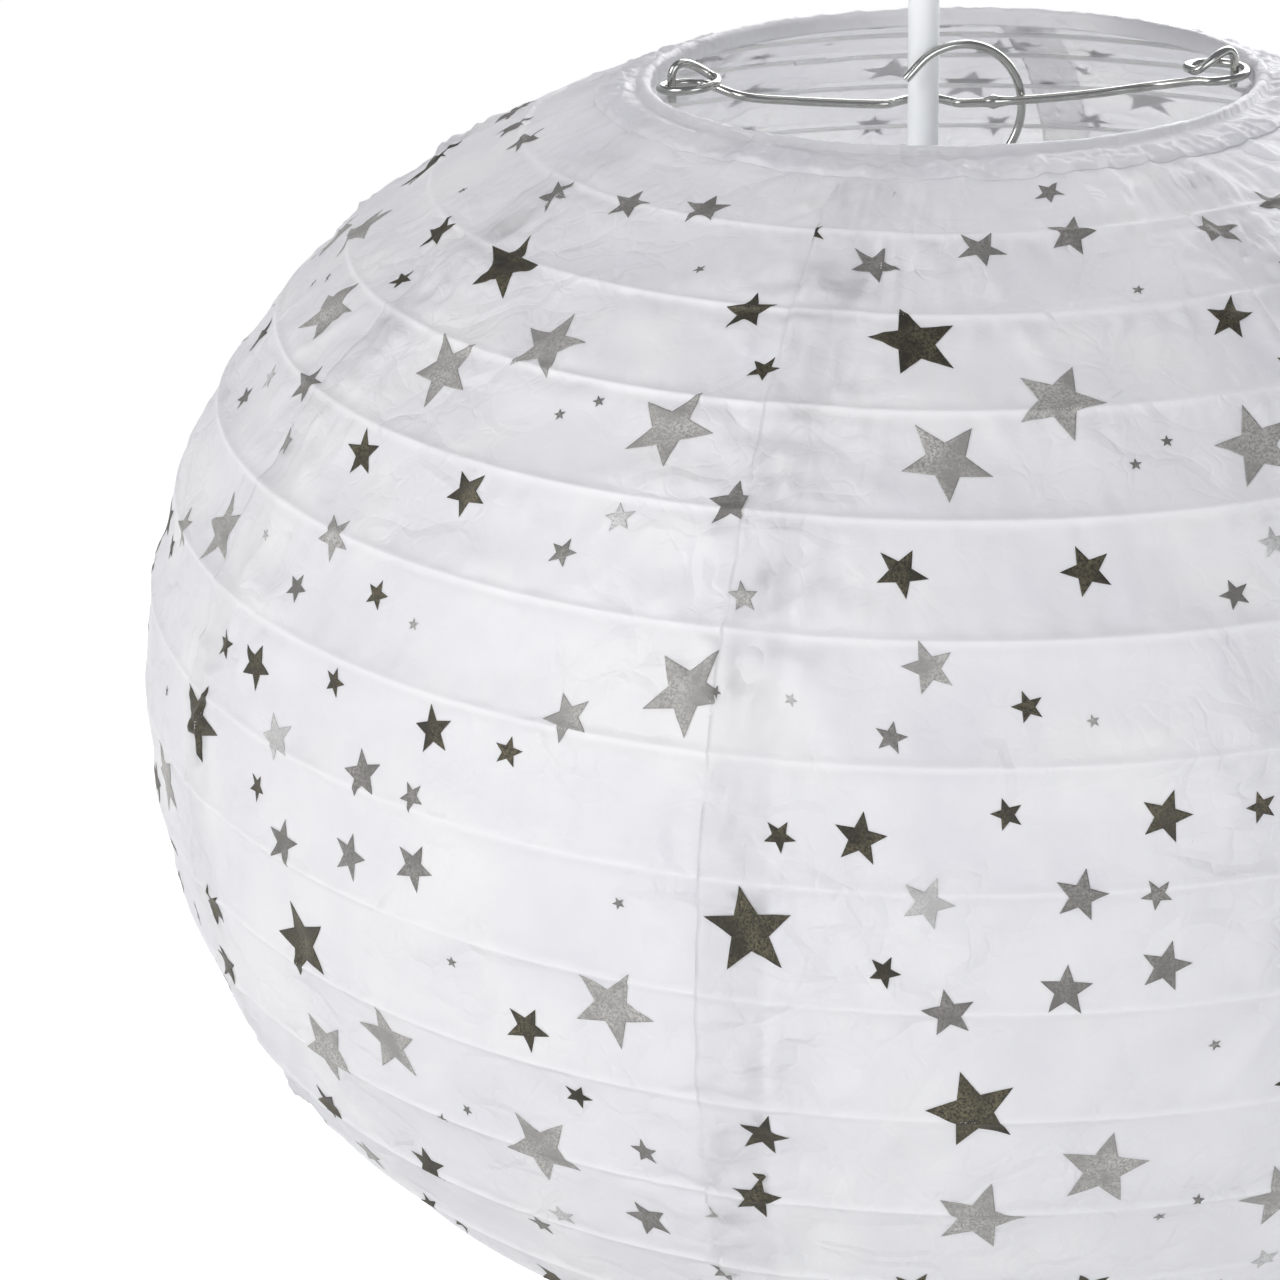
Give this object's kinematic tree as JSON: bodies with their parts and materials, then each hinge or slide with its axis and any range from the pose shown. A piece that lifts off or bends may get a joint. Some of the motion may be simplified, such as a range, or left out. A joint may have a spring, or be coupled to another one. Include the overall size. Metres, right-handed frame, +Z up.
{
  "type": "paper lantern",
  "caption": "Round ribbed paper lantern shade with foil stars, held open by a wire frame and hung on a white cord from a ceiling rose.",
  "frame": {"origin": "centre of the ceiling plate's top face, on the cord's axis", "axes": "+Z up towards the ceiling, -Y towards the viewer, +X along the frame's bar"},
  "size_m": [0.3494, 0.3494, 0.3353],
  "materials": {
    "paper": "thin white tissue paper, creased, lets light through",
    "star_foil": "crackled silver foil",
    "rib_wire": "thin steel wire, lacquered white",
    "frame_wire": "bright zinc plated wire",
    "cord_sheath": "smooth white PVC flex",
    "white_moulding": "white moulded plastic",
    "terminal_moulding": "off-white moulded plastic",
    "screw_shell": "pressed brass"
  },
  "bodies": {
    "ceiling_fitting": {"ceiling_plate": "terminal_moulding", "plate_screw_1": "frame_wire", "plate_screw_2": "frame_wire", "terminal_block": "terminal_moulding", "rose_cover": "white_moulding", "rose_cord_grip": "white_moulding", "cord": "cord_sheath"},
    "lamp_holder": {"holder_cord_grip": "white_moulding", "holder_cap": "white_moulding", "holder_skirt": "white_moulding", "holder_contact_block": "terminal_moulding", "holder_screw_shell": "screw_shell"},
    "wire_frame": {"top_bar": "frame_wire", "hook_and_leg": "frame_wire", "bottom_bar": "frame_wire", "top_ring": "frame_wire", "top_hem": "paper", "paper_gore_1": "paper", "paper_gore_2": "paper", "paper_gore_3": "paper", "paper_gore_4": "paper", "paper_gore_5": "paper", "paper_gore_6": "paper", "paper_gore_7": "paper", "paper_gore_8": "paper"},
    "lower_ring": {"bottom_ring": "frame_wire", "bottom_hem": "paper"},
    "rib_1": {"rib_1": "rib_wire"},
    "rib_2": {"rib_2": "rib_wire"},
    "rib_3": {"rib_3": "rib_wire"},
    "rib_4": {"rib_4": "rib_wire"},
    "rib_5": {"rib_5": "rib_wire"},
    "rib_6": {"rib_6": "rib_wire"},
    "rib_7": {"rib_7": "rib_wire"},
    "rib_8": {"rib_8": "rib_wire"},
    "rib_9": {"rib_9": "rib_wire"},
    "rib_10": {"rib_10": "rib_wire"},
    "rib_11": {"rib_11": "rib_wire"},
    "rib_12": {"rib_12": "rib_wire"},
    "rib_13": {"rib_13": "rib_wire"},
    "rib_14": {"rib_14": "rib_wire"},
    "rib_15": {"rib_15": "rib_wire"},
    "rib_16": {"rib_16": "rib_wire"}
  },
  "joints": [
    {"name": "pendant_turn", "type": "hinge", "parent": "ceiling_fitting", "child": "lamp_holder", "pos_m": [0, 0, 0], "axis": [0, 0, 1], "range_deg": [-180, 180]},
    {"name": "shade_lift", "type": "slide", "parent": "lamp_holder", "child": "wire_frame", "axis": [0, 0, 1], "range_m": [0, 0.015]},
    {"name": "shade_fold", "type": "slide", "parent": "wire_frame", "child": "lower_ring", "axis": [0, 0, 1], "range_m": [0, 0.2323], "deforming": ["paper_gore_1", "paper_gore_2", "paper_gore_3", "paper_gore_4", "paper_gore_5", "paper_gore_6", "paper_gore_7", "paper_gore_8"]},
    {"name": "rib_1_fold", "type": "slide", "parent": "wire_frame", "child": "rib_1", "axis": [0, 0, 1], "range_m": [0, 0.00883]},
    {"name": "rib_2_fold", "type": "slide", "parent": "wire_frame", "child": "rib_2", "axis": [0, 0, 1], "range_m": [0, 0.017]},
    {"name": "rib_3_fold", "type": "slide", "parent": "wire_frame", "child": "rib_3", "axis": [0, 0, 1], "range_m": [0, 0.02727]},
    {"name": "rib_4_fold", "type": "slide", "parent": "wire_frame", "child": "rib_4", "axis": [0, 0, 1], "range_m": [0, 0.03969]},
    {"name": "rib_5_fold", "type": "slide", "parent": "wire_frame", "child": "rib_5", "axis": [0, 0, 1], "range_m": [0, 0.05419]},
    {"name": "rib_6_fold", "type": "slide", "parent": "wire_frame", "child": "rib_6", "axis": [0, 0, 1], "range_m": [0, 0.07051]},
    {"name": "rib_7_fold", "type": "slide", "parent": "wire_frame", "child": "rib_7", "axis": [0, 0, 1], "range_m": [0, 0.08823]},
    {"name": "rib_8_fold", "type": "slide", "parent": "wire_frame", "child": "rib_8", "axis": [0, 0, 1], "range_m": [0, 0.10675]},
    {"name": "rib_9_fold", "type": "slide", "parent": "wire_frame", "child": "rib_9", "axis": [0, 0, 1], "range_m": [0, 0.12555]},
    {"name": "rib_10_fold", "type": "slide", "parent": "wire_frame", "child": "rib_10", "axis": [0, 0, 1], "range_m": [0, 0.14407]},
    {"name": "rib_11_fold", "type": "slide", "parent": "wire_frame", "child": "rib_11", "axis": [0, 0, 1], "range_m": [0, 0.16178]},
    {"name": "rib_12_fold", "type": "slide", "parent": "wire_frame", "child": "rib_12", "axis": [0, 0, 1], "range_m": [0, 0.17811]},
    {"name": "rib_13_fold", "type": "slide", "parent": "wire_frame", "child": "rib_13", "axis": [0, 0, 1], "range_m": [0, 0.1926]},
    {"name": "rib_14_fold", "type": "slide", "parent": "wire_frame", "child": "rib_14", "axis": [0, 0, 1], "range_m": [0, 0.20503]},
    {"name": "rib_15_fold", "type": "slide", "parent": "wire_frame", "child": "rib_15", "axis": [0, 0, 1], "range_m": [0, 0.2153]},
    {"name": "rib_16_fold", "type": "slide", "parent": "wire_frame", "child": "rib_16", "axis": [0, 0, 1], "range_m": [0, 0.22346]}
  ],
  "couplings": [
    {"joint": "rib_1_fold", "follows": "shade_fold", "ratio": 0.03802},
    {"joint": "rib_2_fold", "follows": "shade_fold", "ratio": 0.073169},
    {"joint": "rib_3_fold", "follows": "shade_fold", "ratio": 0.11739},
    {"joint": "rib_4_fold", "follows": "shade_fold", "ratio": 0.17087},
    {"joint": "rib_5_fold", "follows": "shade_fold", "ratio": 0.23327},
    {"joint": "rib_6_fold", "follows": "shade_fold", "ratio": 0.30355},
    {"joint": "rib_7_fold", "follows": "shade_fold", "ratio": 0.3798},
    {"joint": "rib_8_fold", "follows": "shade_fold", "ratio": 0.45955},
    {"joint": "rib_9_fold", "follows": "shade_fold", "ratio": 0.54045},
    {"joint": "rib_10_fold", "follows": "shade_fold", "ratio": 0.6202},
    {"joint": "rib_11_fold", "follows": "shade_fold", "ratio": 0.69645},
    {"joint": "rib_12_fold", "follows": "shade_fold", "ratio": 0.76673},
    {"joint": "rib_13_fold", "follows": "shade_fold", "ratio": 0.82913},
    {"joint": "rib_14_fold", "follows": "shade_fold", "ratio": 0.8826},
    {"joint": "rib_15_fold", "follows": "shade_fold", "ratio": 0.92683},
    {"joint": "rib_16_fold", "follows": "shade_fold", "ratio": 0.96198}
  ]
}
